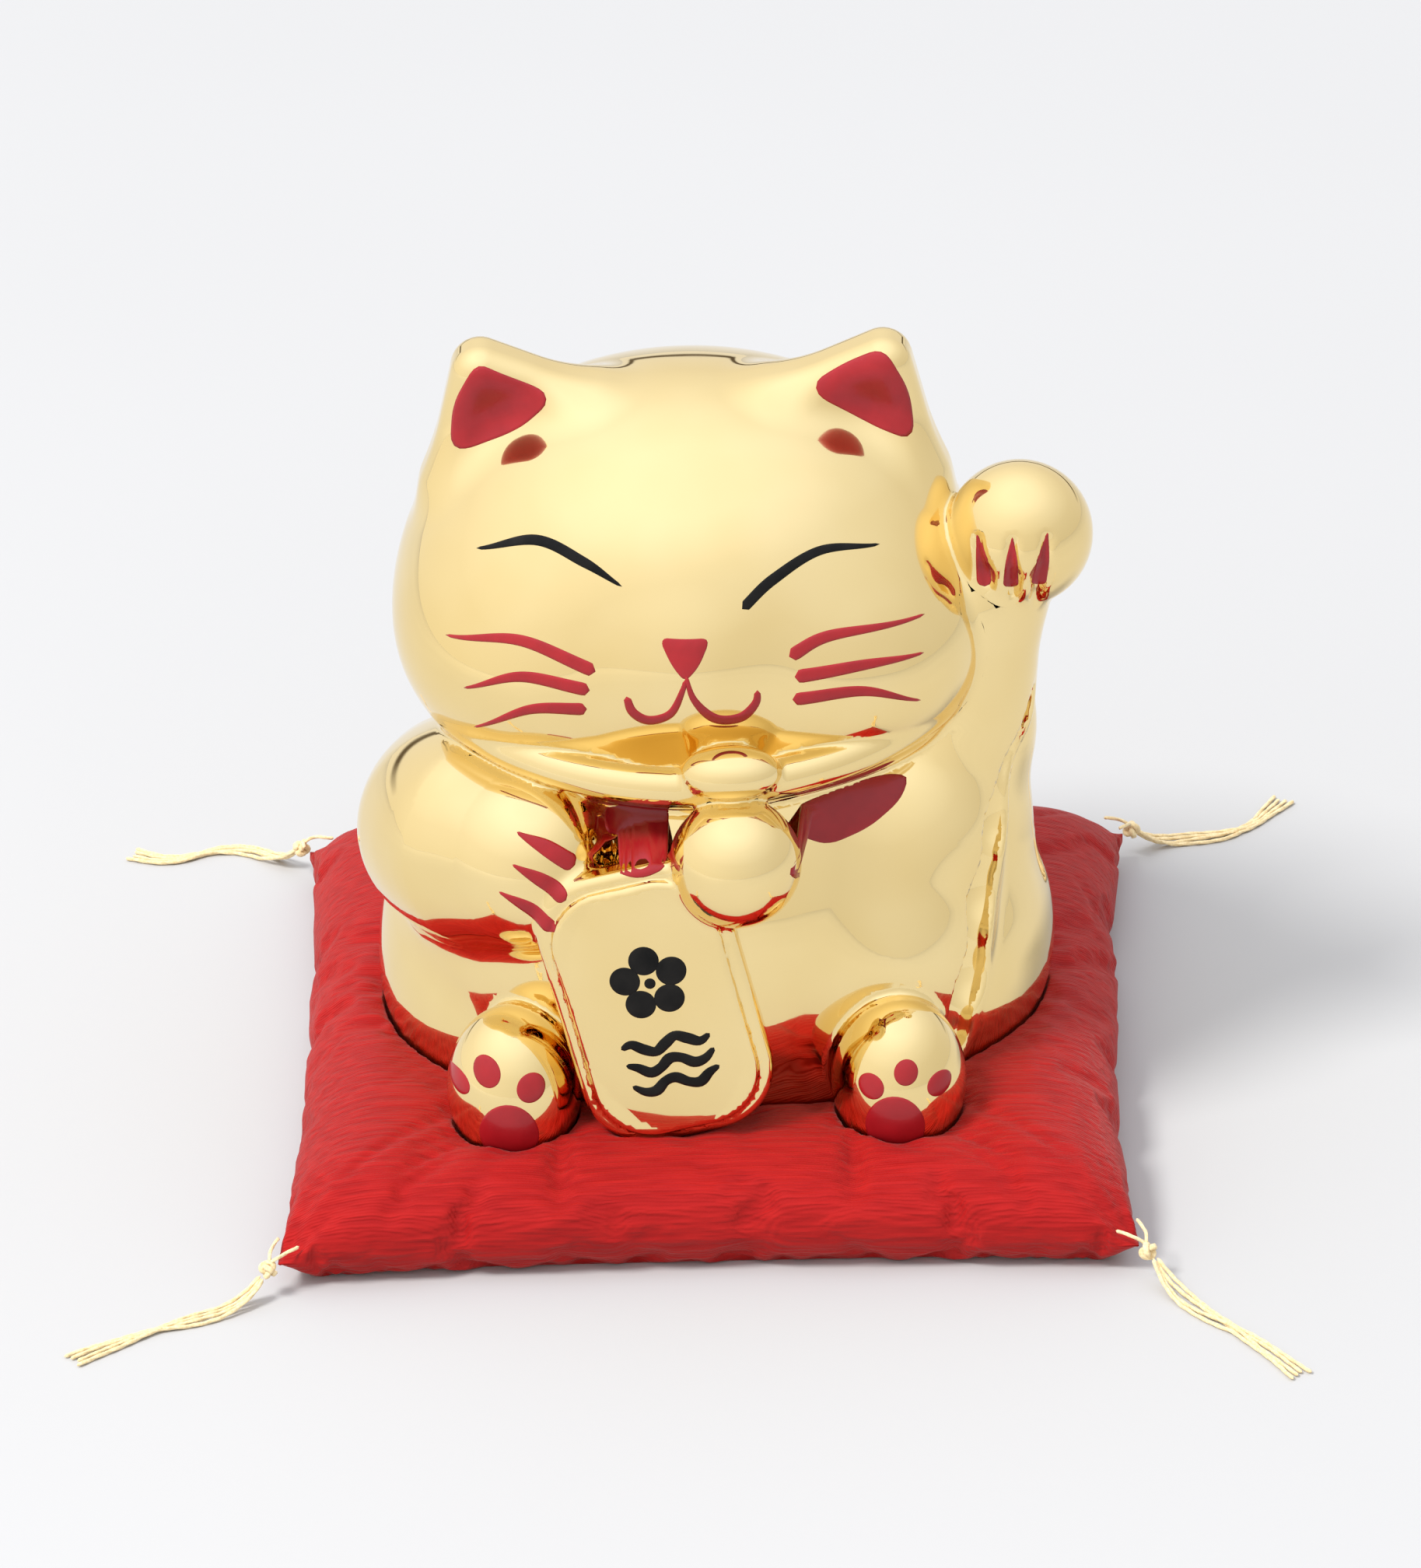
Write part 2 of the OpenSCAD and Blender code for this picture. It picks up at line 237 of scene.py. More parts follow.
def ring(centre, radii, thick, turn):
    """A round cord bent into an oval ring."""
    centre, spin = np.array(centre, float), turned(turn)

    def distance(p):
        q = (p - centre) @ spin
        flat = q[:, :2] / radii
        size = np.linalg.norm(flat, axis=1)
        slope = np.maximum(np.linalg.norm(flat / radii, axis=1) / np.maximum(size, 1e-6), 1e-6)
        return np.hypot((size - 1) / slope, q[:, 2]) - thick
    return distance


def blend(a, b, k):
    """Union of two distances with a fillet about k wide."""
    h = np.maximum(k - np.abs(a - b), 0) / k
    return np.minimum(a, b) - h * h * k * 0.25


def carve(a, b, k):
    """Distance a kept only where b is positive, softly."""
    return -blend(-a, b, k)


# ---------------- the cat's forms

SEAT_Z = box_mm("torso_shell")[0][2]
# The middle of the cat's underside
base = np.array([middle("torso_shell")[0], middle("torso_shell")[1], SEAT_Z])
skull_mid, skull_half = middle("head_shell"), half_size("head_shell")
paw_low, paw_high = box_mm("raised_paw")
PAW_R = (paw_high[2] - paw_low[2]) / 2
PAW_MID = np.array([paw_high[0] - PAW_R, paw_low[1] + PAW_R, paw_low[2] + PAW_R])
bell_low, bell_high = box_mm("bell")
BELL_R = (bell_high[2] - bell_low[2]) / 2
TABLET_TURN = (-2, -13, 0)
TABLET_HALF = (13.6, 21.2, 3.6)
tablet_low = box_mm("tablet")[0]
TABLET_MID = np.array([middle("tablet")[0], tablet_low[1] + 5.5, middle("tablet")[2] + 1.1])


def torso_form():
    """Belly and raised shoulder in front, back, haunches and seat behind, with a crease between."""
    belly = ellipsoid(base + (-1.5, -4.3, 23), (42.5, 36, 41))
    column = limb(base + [(38, -8.3, 70), (36.5, -9.3, 54), (31, -15.3, 37), (26.5, -21.3, 21),
                          (24.5, -22.3, 6)], [9.3, 9.3, 10, 11, 11], 4)
    back = ellipsoid(base + (0, 2.7, 21), (44.6, 37, 42))
    side = limb(base + [(37.5, 0.7, 62), (36.4, 1.2, 44), (34.5, 1.7, 28)], [9.7, 9.6, 11], 4)
    haunch_left = ellipsoid(base + (26.8, 2.7, 12.5), (22, 30, 22))
    haunch_right = ellipsoid(base + (-25.5, 0.7, 8), (20.8, 30, 22))
    seat = ellipsoid(base + (0.5, 0.7, 7), (45, 38, 24))
    furrow = limb(base + [(45.6, -11, 59), (43.6, -14, 47), (40.8, -18.5, 38.5), (38.6, -22, 29),
                          (36.6, -26, 18), (34.8, -28.5, 9), (34.4, -30.5, 2)],
                  [1.3, 2.4, 3.3, 3.9, 4.0, 3.4, 2.6])

    def distance(p):
        front = blend(belly(p), column(p), 9)
        rear = blend(back(p), side(p), 6)
        rear = blend(rear, haunch_right(p), 10)
        rear = blend(rear, haunch_left(p), 3)
        rear = blend(rear, seat(p), 6)
        whole = carve(blend(front, rear, 1.2), furrow(p), 1.0)
        return carve(whole, p[:, 2] - SEAT_Z, 1.5)
    return distance


def head_form():
    skull = ellipsoid(skull_mid, skull_half)
    cheek_right = ellipsoid(skull_mid + (-18.8, -11, -3.9), (20, 21.5, 15))
    cheek_left = ellipsoid(skull_mid + (20.5, -11, -4.5), (20.5, 22, 15.5))
    muzzle = ellipsoid(skull_mid + (0, -25, 1), (12, 10.5, 8))
    neck = ellipsoid(skull_mid + (1, -1, -11.5), (37.5, 36, 9), (8, 0, 0))

    def distance(p):
        d = blend(blend(skull(p), cheek_right(p), 9), cheek_left(p), 9)
        return blend(blend(d, muzzle(p), 7), neck(p), 4)
    return distance


def ear_form(side):
    """A rounded triangular leaf standing on the head."""
    low, high = box_mm("ear_left" if side > 0 else "ear_right")
    outer_x = high[0] if side > 0 else low[0]
    corners = np.array([(outer_x - side * 6.8, high[2] - 4.7), (outer_x - side * 2.9, high[2] - 21),
                        (outer_x - side * 21.0, high[2] - 10.8)])
    turn = np.sign(np.cross(corners[1] - corners[0], corners[2] - corners[0]))

    def outline(q):
        """Signed distance to the triangle of the three corners, in X and Z."""
        best, inside = np.full(len(q), 1e9), np.full(len(q), 1e9)
        for a, b in zip(corners, np.roll(corners, -1, axis=0)):
            edge, to = b - a, q - a
            t = np.clip(to @ edge / (edge @ edge), 0, 1)
            best = np.minimum(best, np.linalg.norm(to - t[:, None] * edge, axis=1))
            inside = np.minimum(inside, turn * (edge[0] * to[:, 1] - edge[1] * to[:, 0]))
        return np.where(inside > 0, -best, best)

    def distance(p):
        hollow = 2.0 * np.exp(-((p[:, 0] - corners[:, 0].mean()) ** 2
                                + (p[:, 2] - corners[:, 1].mean() - 1) ** 2) / 38)
        through = np.where(p[:, 1] < 0.8, 0.8 - p[:, 1] + hollow, p[:, 1] - 0.8) - 1.2
        return boxed(np.stack([outline(p[:, [0, 2]]), through], axis=1)) - 4.2
    return distance


def raised_arm_form():
    """The wrist between the shoulder and the raised paw."""
    return limb([base + (37.4, -9.3, 62), PAW_MID + (-6.4, 0.5, -12), PAW_MID + (-3.2, 0.4, -7)],
                [8.2, 7.6, 7.4], 4)


def holding_arm_form():
    low, high = box_mm("holding_arm")
    origin = np.array([low[0], 0, high[2]])
    arm = limb(origin + [(16.6, -3, -18.4), (17.0, -13, -17.2), (20.8, -23, -14.4),
                         (26.6, -30.5, -12.4)], [12.0, 12.8, 12.2, 10.2], 9)
    paw = ellipsoid(origin + (27.4, -31.5, -12.8), (10.3, 10.6, 10.9), (0, 10, 20))

    def distance(p):
        return blend(arm(p), paw(p), 6)
    return distance


def raised_paw_form():
    """A ball with three shallow furrows between its fingers."""
    ball = ellipsoid(PAW_MID, (PAW_R, PAW_R, PAW_R))
    fingers = []
    for top, bottom in (((-5.9, 3), (-4.4, -7.4)), ((-1.1, 3.4), (-1.4, -8.4)), ((3.9, 3.4), (1.8, -8))):
        line = [PAW_MID + (x, -math.sqrt(PAW_R ** 2 - x ** 2 - z ** 2), z)
                for x, z in (top, ((top[0] + bottom[0]) / 2, (top[1] + bottom[1]) / 2), bottom)]
        fingers.append(limb(line, [0.3, 0.6, 0.8]))

    def distance(p):
        d = ball(p)
        for finger in fingers:
            d = carve(d, finger(p), 1.4)
        return d
    return distance


def foot_form(name):
    low, high = box_mm(name)
    body = ellipsoid((middle(name)[0], low[1] + 10, high[2] - 12), (9.5, 10.2, 12))

    def distance(p):
        return carve(body(p), p[:, 2] - SEAT_Z, 1.5)
    return distance


def knot_shape():
    low, high = box_mm("collar_knot")
    centre = ((low[0] + high[0]) / 2, low[1] + 4.6, (low[2] + high[2]) / 2 + 0.3)
    return ellipsoid(centre, (7, 4.6, 3.7))


def tablet_form():
    """A slab with a narrow step round its raised face."""
    slab = plate(TABLET_MID, (TABLET_HALF[0], TABLET_HALF[1], TABLET_HALF[2] - 1.3), 9.5, 1.4, TABLET_TURN)
    face = plate(TABLET_MID, (TABLET_HALF[0] - 1.9, TABLET_HALF[1] - 1.9, TABLET_HALF[2]), 8.2, 0.9,
                 TABLET_TURN, 1.5)

    def distance(p):
        return blend(slab(p), face(p), 0.5)
    return distance


ring_mid = middle("collar_cord")

FORMS = {
    "torso_shell": torso_form(),
    "head_shell": head_form(),
    "ear_right": ear_form(-1),
    "ear_left": ear_form(1),
    "raised_arm": raised_arm_form(),
    "raised_paw": raised_paw_form(),
    "holding_arm": holding_arm_form(),
    "foot_right": foot_form("foot_right"),
    "foot_left": foot_form("foot_left"),
    "tablet": tablet_form(),
    "bell": ellipsoid(bell_low + BELL_R, (BELL_R, BELL_R, BELL_R)),
    "collar_cord": ring((0, 0, ring_mid[2]), (38.5, 37.5), 2.7, (8, 0, 0)),
    "collar_knot": knot_shape(),
    "tail": ellipsoid(middle("tail"), (14.5, 8, 7), (0, -14, -24)),
}
NAMES = list(FORMS)


def cat(p):
    """Distance to the whole cat, with a fillet where each part joins the next, and
    the plain distance to each part."""
    d = {name: form(p) for name, form in FORMS.items()}
    body = blend(d["torso_shell"], d["raised_arm"], 5)
    body = blend(body, d["holding_arm"], 3.4)
    for name, fillet in (("foot_right", 1.6), ("foot_left", 1.6), ("tablet", 2.2), ("tail", 1.8)):
        body = blend(body, d[name], fillet)
    top = blend(blend(d["head_shell"], d["ear_right"], 6), d["ear_left"], 6)
    whole = blend(body, top, 1.0)
    for name, fillet in (("raised_paw", 1.4), ("collar_cord", 0.9), ("collar_knot", 1.0), ("bell", 1.1)):
        whole = blend(whole, d[name], fillet)
    return whole, d


def cat_distance(p):
    return cat(p)[0]


def slope_of(p, reach=0.04):
    """Outward unit normals of the cat's surface."""
    out = np.empty_like(p)
    for axis in range(3):
        step = np.zeros(3)
        step[axis] = reach
        out[:, axis] = cat_distance(p + step) - cat_distance(p - step)
    return out / np.maximum(np.linalg.norm(out, axis=1), 1e-9)[:, None]


# ---------------- meshing the cat

# The mesh's cell and the visible shell's thickness, in millimetres
CELL = 0.7
WALL = 1.0


def sample_field(low, counts):
    """The cat's distance on a grid, worked out only in blocks near the surface."""
    field = np.full(counts, 9.0, np.float32)
    block = 12
    for i in range(0, counts[0], block):
        for j in range(0, counts[1], block):
            for k in range(0, counts[2], block):
                stops = [min(s + block, n) for s, n in zip((i, j, k), counts)]
                axes = [low[a] + CELL * np.arange(s, e) for a, (s, e) in enumerate(zip((i, j, k), stops))]
                centre = np.array([[x.mean() for x in axes]])
                here = cat_distance(centre)[0]
                if abs(here) > block * CELL * 1.1:
                    field[i:stops[0], j:stops[1], k:stops[2]] = math.copysign(9.0, here)
                    continue
                grid = np.stack(np.meshgrid(*axes, indexing="ij"), axis=-1).reshape(-1, 3)
                shape = [e - s for s, e in zip((i, j, k), stops)]
                field[i:stops[0], j:stops[1], k:stops[2]] = cat_distance(grid).reshape(shape)
    return field


def surface_net(field, low):
    """Vertices and quads of the zero surface of a field."""
    inside = field < 0
    nx, ny, nz = field.shape
    total = np.zeros((nx - 1, ny - 1, nz - 1, 3))
    hits = np.zeros((nx - 1, ny - 1, nz - 1))
    corners = [(a, b, c) for a in (0, 1) for b in (0, 1) for c in (0, 1)]
    for start in corners:
        for axis in range(3):
            if start[axis]:
                continue
            end = list(start)
            end[axis] = 1
            one = field[start[0]:nx - 1 + start[0], start[1]:ny - 1 + start[1], start[2]:nz - 1 + start[2]]
            two = field[end[0]:nx - 1 + end[0], end[1]:ny - 1 + end[1], end[2]:nz - 1 + end[2]]
            cross = (one < 0) != (two < 0)
            t = np.where(cross, one / np.where(cross, one - two, 1), 0)
            for a in range(3):
                total[..., a] += np.where(cross, start[a] + (t if a == axis else 0), 0)
            hits += cross
    used = hits > 0
    index = np.full(used.shape, -1)
    index[used] = np.arange(used.sum())
    cells = np.argwhere(used)
    points = low + CELL * (cells + total[used] / hits[used][:, None])
    quads = []
    for axis in range(3):
        b, c = (axis + 1) % 3, (axis + 2) % 3
        first = [slice(None)] * 3
        second = [slice(None)] * 3
        first[axis], second[axis] = slice(0, -1), slice(1, None)
        change = inside[tuple(first)] != inside[tuple(second)]
        at = np.argwhere(change)
        at = at[(at[:, [b, c]] > 0).all(axis=1)
                & (at[:, b] < field.shape[b] - 1) & (at[:, c] < field.shape[c] - 1)]
        around = []
        for db, dc in ((-1, -1), (0, -1), (0, 0), (-1, 0)):
            cell = at.copy()
            cell[:, b] += db
            cell[:, c] += dc
            around.append(index[cell[:, 0], cell[:, 1], cell[:, 2]])
        quad = np.stack(around, axis=1)
        solid_first = inside[at[:, 0], at[:, 1], at[:, 2]]
        quad[~solid_first] = quad[~solid_first][:, ::-1]
        quads.append(quad)
    return points, np.concatenate(quads)


def settle(points, rounds=2):
    """Moves points onto the cat's surface."""
    for _ in range(rounds):
        points = points - slope_of(points) * np.clip(cat_distance(points), -CELL, CELL)[:, None]
    return points


def clip_part(triangles, points, side):
    """The triangles where side is negative, cut along its zero line. Returns triangles
    over the old points and new ones, with the new points' ends and shares."""
    keep = side < 0
    count = keep[triangles].sum(axis=1)
    whole = triangles[count == 3]
    cut = triangles[(count == 1) | (count == 2)]
    ends, shares, pieces = [], [], []
    found = {}

    def crossing(a, b):
        key = (min(a, b), max(a, b))
        if key not in found:
            one, two = key
            found[key] = len(points) + len(ends)
            ends.append(key)
            shares.append(side[one] / (side[one] - side[two]))
        return found[key]

    for a, b, c in cut.tolist():
        inside_here = (keep[a], keep[b], keep[c])
        if sum(inside_here) == 1:
            while not keep[a]:
                a, b, c = b, c, a
            pieces.append((a, crossing(a, b), crossing(a, c)))
        else:
            while keep[a]:
                a, b, c = b, c, a
            start, end = crossing(a, b), crossing(a, c)
            pieces.append((b, c, end))
            pieces.append((b, end, start))
    made = np.array(pieces, int).reshape(-1, 3)
    return np.concatenate([whole, made]), np.array(ends, int).reshape(-1, 2), np.array(shares)


def make_mesh(name, points_mm, faces, material, body, normals=None):
    """A mesh object from points in millimetres, with a normal for each face corner if given."""
    mesh = bpy.data.meshes.new(name)
    mesh.from_pydata((points_mm * MM).tolist(), [], faces)
    mesh.polygons.foreach_set("use_smooth", [True] * len(mesh.polygons))
    mesh.update()
    if normals is not None:
        mesh.normals_split_custom_set(normals.tolist())
    mesh.materials.append(material)
    piece = add_object(name, mesh)
    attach(piece, body)
    return piece


def drop_unused(points, faces):
    """The points that faces use, the faces over them, and those points' old numbers."""
    used = np.unique(faces)
    renumber = np.full(len(points), -1)
    renumber[used] = np.arange(len(used))
    return points[used], renumber[faces], used


def rim_walls(faces, count):
    """Quads that join the faces' rim to the same points again, numbered count further on."""
    corners = faces.shape[1]
    edges = np.concatenate([faces[:, [k, (k + 1) % corners]] for k in range(corners)])
    _, first, times = np.unique(np.sort(edges, axis=1), axis=0, return_index=True, return_counts=True)
    rim = edges[first[times == 1]]
    return np.stack([rim[:, 1], rim[:, 0], rim[:, 0] + count, rim[:, 1] + count], axis=1)


def closed_shell(name, points, triangles, normals, thickness, material):
    """Backs a patch of surface with an inner side and a wall round its rim."""
    outer, triangles, used = drop_unused(points, triangles)
    normal = normals[used]
    inner = outer - normal * thickness
    count = len(outer)
    walls = rim_walls(triangles, count)
    faces = triangles.tolist() + (triangles[:, ::-1] + count).tolist() + walls.tolist()
    both = np.concatenate([outer, inner])
    across = np.cross(both[walls[:, 1]] - both[walls[:, 0]], both[walls[:, 3]] - both[walls[:, 0]])
    across /= np.maximum(np.linalg.norm(across, axis=1), 1e-12)[:, None]
    corner_normals = np.concatenate([
        normal[triangles].reshape(-1, 3),
        -normal[triangles[:, ::-1]].reshape(-1, 3),
        np.repeat(across, 4, axis=0)])
    return make_mesh(name, both, faces, material, "cat", corner_normals)


def build_cat():
    room = 5
    low = np.array([box_mm("holding_arm")[0][0], min(bell_low[1], tablet_low[1]), SEAT_Z]) - room
    high = np.array([paw_high[0], box_mm("tail")[1][1] + 2, box_mm("ear_left")[1][2]]) + room
    counts = tuple(np.ceil((high - low) / CELL).astype(int) + 1)
    points, quads = surface_net(sample_field(low, counts), low)
    points = settle(points)
    short = (np.linalg.norm(points[quads[:, 0]] - points[quads[:, 2]], axis=1)
             <= np.linalg.norm(points[quads[:, 1]] - points[quads[:, 3]], axis=1))
    triangles = np.concatenate([
        quads[short][:, [0, 1, 2]], quads[short][:, [0, 2, 3]],
        quads[~short][:, [0, 1, 3]], quads[~short][:, [1, 2, 3]]])
    plain = np.stack([cat(points)[1][name] for name in NAMES], axis=1)
    normals = slope_of(points)
    for order, name in enumerate(NAMES):
        others = np.delete(plain, order, axis=1).min(axis=1)
        side = plain[:, order] - others
        side[side == 0] = 1e-9
        part, ends, shares = clip_part(triangles, points, side)
        if len(ends):
            joined = points[ends[:, 0]] + (points[ends[:, 1]] - points[ends[:, 0]]) * shares[:, None]
            joined = settle(joined, 1)
            all_points = np.concatenate([points, joined])
            all_normals = np.concatenate([normals, slope_of(joined)])
        else:
            all_points, all_normals = points, normals
        piece = closed_shell(name + "_glazed", all_points, part, all_normals, WALL, GOLD)
        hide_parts(name)


build_cat()

# ---------------- brushed enamel

# How far enamel stands above the glaze and reaches into it, in millimetres
ENAMEL_LIFT = 0.15
ENAMEL_ROOT = 0.3


def spline(a, b, c, d, share):
    """A smooth curve's place between b and c, where a comes before them and d after."""
    return 0.5 * (2 * b + (c - a) * share + (2 * a - 5 * b + 4 * c - d) * share ** 2
                  + (3 * b - a - 3 * c + d) * share ** 3)


def arc_length(path):
    """How far along a path each of its points is."""
    return np.concatenate([[0], np.cumsum(np.linalg.norm(np.diff(path, axis=0), axis=1))])


def spread(path, count, endpoint=True):
    """Evenly spread points on a path."""
    gone = arc_length(path)
    even = np.linspace(0, gone[-1], count, endpoint=endpoint)
    return np.stack([np.interp(even, gone, path[:, k]) for k in range(path.shape[1])], axis=1)


def smooth_curve(points, count):
    """Evenly spread points on a smooth curve through the given ones."""
    points = np.array(points, float)
    padded = np.concatenate([[2 * points[0] - points[1]], points, [2 * points[-1] - points[-2]]])
    spans = len(points) - 1
    t = np.linspace(0, spans, 40 * spans + 1)
    i = np.minimum(t.astype(int), spans - 1)
    return spread(spline(*(padded[i + k] for k in range(4)), (t - i)[:, None]), count)


def grid_quads(row):
    """Quads over a grid of point numbers."""
    return np.stack([row[:-1, :-1], row[1:, :-1], row[1:, 1:], row[:-1, 1:]], axis=-1).reshape(-1, 4)


def tube_quads(row):
    """Quads over a grid of point numbers whose last column joins its first."""
    return grid_quads(np.concatenate([row, row[:, :1]], axis=1))


def brush_stroke(points, widths, count=34, across=9):
    """A stroke in X and Z through the points, with a half width at each of them.
    Returns its grid, how near each grid point is to the border, and the faces."""
    line = smooth_curve([(x, z, w) for (x, z), w in zip(points, widths)], count)
    path, half = line[:, :2], np.maximum(line[:, 2], 0.02)
    along = np.gradient(path, axis=0)
    along /= np.linalg.norm(along, axis=1)[:, None]
    side = np.stack([-along[:, 1], along[:, 0]], axis=1)
    gone = arc_length(path)
    to_end = np.minimum(gone, gone[-1] - gone)
    cap = np.clip(to_end / half, 0, 1)
    half = half * np.maximum(np.sqrt(cap * (2 - cap)), 0.05)
    share = np.linspace(-1, 1, across)
    grid = path[:, None] + side[:, None] * (half[:, None] * share)[..., None]
    edge = np.maximum(np.abs(share)[None, :], 1 - cap[:, None])
    faces = grid_quads(np.arange(count * across).reshape(count, across))
    return grid.reshape(-1, 2), edge.reshape(-1), faces


def blob(corners, rounding=3, sides=48):
    """A filled shape in X and Z whose corners are rounded off."""
    ring = np.array(corners, float)
    for _ in range(rounding):
        following = np.roll(ring, -1, axis=0)
        ring = np.stack([0.8 * ring + 0.2 * following, 0.2 * ring + 0.8 * following], axis=1).reshape(-1, 2)
    border = spread(np.concatenate([ring, ring[:1]]), sides, endpoint=False)
    middle_point = border.mean(axis=0)
    shares = np.array([0.05, 0.25, 0.45, 0.65, 0.82, 0.93, 1.0])
    grid = middle_point + shares[:, None, None] * (border - middle_point)
    faces = tube_quads(np.arange(len(shares) * sides).reshape(len(shares), sides))
    half = np.arange(sides // 2 - 1)
    centre = np.stack([half, half + 1, sides - 2 - half, sides - 1 - half], axis=-1)
    return grid.reshape(-1, 2), np.repeat(shares, sides), np.concatenate([faces, centre])


def oval(x, z, rx, rz):
    angles = np.linspace(0, TURN, 24, endpoint=False)
    return blob([(x + rx * math.cos(a), z + rz * math.sin(a)) for a in angles], 1, 40)


def onto_cat(flat):
    """Points of the cat's surface straight behind places given in X and Z, seen from the front."""
    p = np.stack([flat[:, 0], np.full(len(flat), tablet_low[1] - 6), flat[:, 1]], axis=1)
    for _ in range(80):
        p[:, 1] += 0.7 * np.clip(cat_distance(p), -1, 5)
    return p


def enamel(node, shapes, material=RED_ENAMEL):
    """Raised enamel patches on the cat that stand for a CAD node."""
    points, faces, count = [], [], 0
    for flat, edge, patch in shapes:
        seat = onto_cat(flat)
        normal = slope_of(seat)
        rise = ENAMEL_LIFT * (1 - edge ** 4) + 0.03
        top = seat + normal * rise[:, None]
        root = seat - normal * ENAMEL_ROOT
        size = len(top)
        facing = np.cross(top[patch[:, 1]] - top[patch[:, 0]], top[patch[:, 3]] - top[patch[:, 0]])
        if facing[:, 1].sum() > 0:
            patch = patch[:, ::-1]
        points += [top, root]
        faces += [patch + count, patch[:, ::-1] + size + count, rim_walls(patch, size) + count]
        count += 2 * size
    piece = make_mesh(node + "_painted", np.concatenate(points), np.concatenate(faces).tolist(),
                      material, "cat")
    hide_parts(node)


def near(origin, *pairs):
    """Places in X and Z, given from an origin."""
    return [(origin[0] + x, origin[2] + z) for x, z in pairs]


def add_face():
    eyes = [brush_stroke(near(skull_mid, (-28.8, 14.8), (-20.3, 17.9), (-13.6, 16.6), (-8.4, 14.3)),
                         (0.12, 0.55, 0.62, 0.16)),
            brush_stroke(near(skull_mid, (8.1, 11.3), (12.4, 14.3), (19, 16.4), (27.2, 14.9)),
                         (0.72, 0.72, 0.52, 0.12))]
    enamel("eye_enamel", eyes, BLACK_ENAMEL)
    nose = near(skull_mid, (-3.5, 8.4), (0.1, 8.2), (3.7, 8.2), (2.0, 4.6), (0, 2.5), (-1.8, 4.8))
    enamel("nose_enamel", [blob(nose, 2)])
    right = near(skull_mid, (-8.2, -0.1), (-7.4, -2.6), (-5.2, -3.9), (-2.2, -2.6), (-0.4, 1.2), (0, 2.8))
    left = near(skull_mid, (0.1, 3.4), (1.2, -0.4), (4, -3.8), (7.4, -4), (9.6, -1.8), (9.9, 0.2))
    enamel("mouth_enamel", [brush_stroke(right, (0.5, 0.72, 0.8, 0.62, 0.4, 0.25)),
                            brush_stroke(left, (0.25, 0.5, 0.78, 0.8, 0.6, 0.4))])
    whiskers = {
        "right": [[(-33.4, 4.0), (-22.7, 6.2), (-12.4, 3.2)],
                  [(-31, -2), (-22.8, 1.5), (-13.3, 0.4)],
                  [(-29.8, -8.2), (-21.9, -3.2), (-13.8, -2.5)]],
        "left": [[(33.2, 5.6), (20.4, 6.4), (14.4, 4.4)],
                 [(33, 1.2), (24.6, 1.9), (15.1, 1.5)],
                 [(32.4, -5.4), (24.5, -1.7), (14.7, -1.8)]]}
    for side, lines in whiskers.items():
        enamel("whisker_enamel_" + side,
               [brush_stroke(near(skull_mid, *line), (0.16, 0.72, 1.0)) for line in lines])


def add_ear_and_bib_panels():
    panels = {
        "right": [(-32.6, 22.4), (-32, 29.5), (-28.6, 36.2), (-24.5, 34), (-17.6, 30.9), (-23, 26)],
        "left": [(17.4, 31.2), (23, 34.4), (28.6, 36.8), (31.8, 30), (32.4, 22.8), (26, 25.4)]}
    for side, corners in panels.items():
        enamel("ear_enamel_" + side, [blob(near(skull_mid, *corners))])
    small = near(base, (-14, 50), (-4.6, 50.4), (-4.6, 47.2), (-8.4, 45.6), (-13.0, 46.6))
    large = near(base, (11.6, 48.6), (29.2, 49.4), (27.8, 46.2), (23.2, 43.6), (17.6, 42.8), (13.4, 44.8))
    enamel("bib_enamel", [blob(small, 2), blob(large)])


def add_claws():
    low, high = box_mm("holding_arm")
    tip = np.array([low[0], 0, low[2]])
    lines = [[(25.6, 21.4), (29.6, 19.5), (33.5, 16.6)],
             [(24.9, 17.6), (28.6, 15.6), (32.2, 12.9)],
             [(22.9, 13.6), (26.7, 11.5), (30.4, 8.4)]]
    strokes = [brush_stroke(near(tip, *line), (0.15, 0.95, 1.1)) for line in lines]
    enamel("holding_claw_enamel", strokes)
    lines = [[(-5.9, 3.6), (-5.3, 0), (-5.0, -4.2)], [(-1.0, 4.0), (-1.2, 0), (-1.4, -4.4)],
             [(3.9, 4.2), (3.2, 0.2), (2.4, -4.2)]]
    strokes = [brush_stroke(near(PAW_MID, *line), (0.12, 0.85, 1.1)) for line in lines]
    enamel("raised_claw_enamel", strokes)


def add_foot_marks():
    for node, foot, dots in (
            ("foot_enamel_right", "foot_right", [(-7.4, 2.0, 1.5), (-3.4, 4.6, 1.95), (2.7, 2.6, 2.0)]),
            ("foot_enamel_left", "foot_left", [(-3.8, 1.6, 1.8), (1.1, 3.7, 1.7), (5.7, 1.2, 1.7)])):
        low, high = box_mm(foot)
        origin = np.array([middle(foot)[0], 0, high[2] - 10])
        shapes = [oval(origin[0] + x, origin[2] + z, r, r) for x, z, r in dots]
        shapes.append(oval(origin[0] - 0.6, origin[2] - 4.6, 4.2, 5.2))
        enamel(node, shapes)


